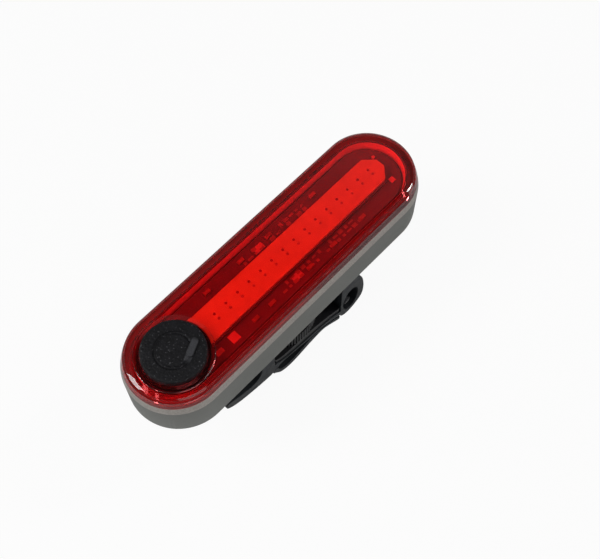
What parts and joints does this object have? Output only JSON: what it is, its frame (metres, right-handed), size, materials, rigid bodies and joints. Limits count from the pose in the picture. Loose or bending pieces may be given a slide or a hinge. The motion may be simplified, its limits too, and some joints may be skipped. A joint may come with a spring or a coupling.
{
  "type": "bicycle rear light",
  "caption": "Pill-shaped rechargeable bicycle rear light with a clear red lens over a light strip, a push button, and a swivelling rubber saddle and strap for a tube.",
  "frame": {"origin": "on the swivel axis, at the saddle's seat for the tube", "axes": "+X along the light away from the button end, +Y across the light and along the seated tube, +Z out through the lens"},
  "size_m": [0.0782, 0.022, 0.0312],
  "materials": {
    "housing": "satin grey, fine grain",
    "lens": "clear red, polished",
    "gasket": "soft matte",
    "frame": "moulded",
    "board": "dark board coat",
    "strip_gel": "soft red gel",
    "chips": "small clear chips",
    "solder": "solder",
    "board_parts": "ceramic and moulded parts",
    "switch": "moulded",
    "button": "matte, fine grain",
    "cell": "foil pouch",
    "foam": "closed-cell foam",
    "wire": "insulated wire",
    "steel": "plated",
    "socket_insulator": "moulded",
    "flap": "matte",
    "bracket": "moulded nylon, satin",
    "dark_steel": "blackened",
    "mount_rubber": "moulded silicone, satin"
  },
  "bodies": {
    "light": {"housing": "housing", "lens": "lens", "lens_gasket": "gasket", "inner_frame": "frame", "main_board": "board", "strip_board": "board", "light_strip": "strip_gel", "light_chips": "chips", "solder_pads": "solder", "board_parts": "board_parts", "charge_lamp": "chips", "switch_base": "switch", "battery": "cell", "foam_pad": "foam", "battery_leads": "wire", "socket_shell": "steel", "socket_tongue": "socket_insulator", "socket_board": "board", "link_pins": "steel", "board_screws": "steel", "swivel_screw": "steel"},
    "button": {"button_cap": "button"},
    "plunger": {"switch_plunger": "switch"},
    "flap": {"socket_flap": "flap"},
    "mount": {"bracket": "bracket", "spring_washer": "steel", "eye_pin": "dark_steel", "rubber_saddle": "mount_rubber"},
    "strap": {"strap": "mount_rubber"}
  },
  "joints": [
    {"name": "button_press", "type": "slide", "parent": "light", "child": "button", "axis": [0, 0, -1], "range_m": [0, 0.0006], "stiffness_N_per_m": 1500},
    {"name": "plunger_press", "type": "slide", "parent": "light", "child": "plunger", "axis": [0, 0, -1], "range_m": [0, 0.00035]},
    {"name": "flap_open", "type": "hinge", "parent": "light", "child": "flap", "pos_m": [0.033, 0, 0.01], "axis": [0, -1, 0], "range_deg": [0, 95], "stiffness_Nm_per_rad": 0.0005, "springref_deg": -8.59},
    {"name": "swivel", "type": "hinge", "parent": "light", "child": "mount", "pos_m": [0, 0, 0.0094], "axis": [0, 0, 1], "range_deg": [-90, 90]},
    {"name": "strap_open", "type": "hinge", "parent": "mount", "child": "strap", "pos_m": [-0.00884, 0, 0.00015], "axis": [0, 1, 0], "range_deg": [0, 95], "stiffness_Nm_per_rad": 0.01, "springref_deg": -8.59}
  ],
  "couplings": [
    {"joint": "plunger_press", "follows": "button_press", "ratio": 0.5833}
  ]
}
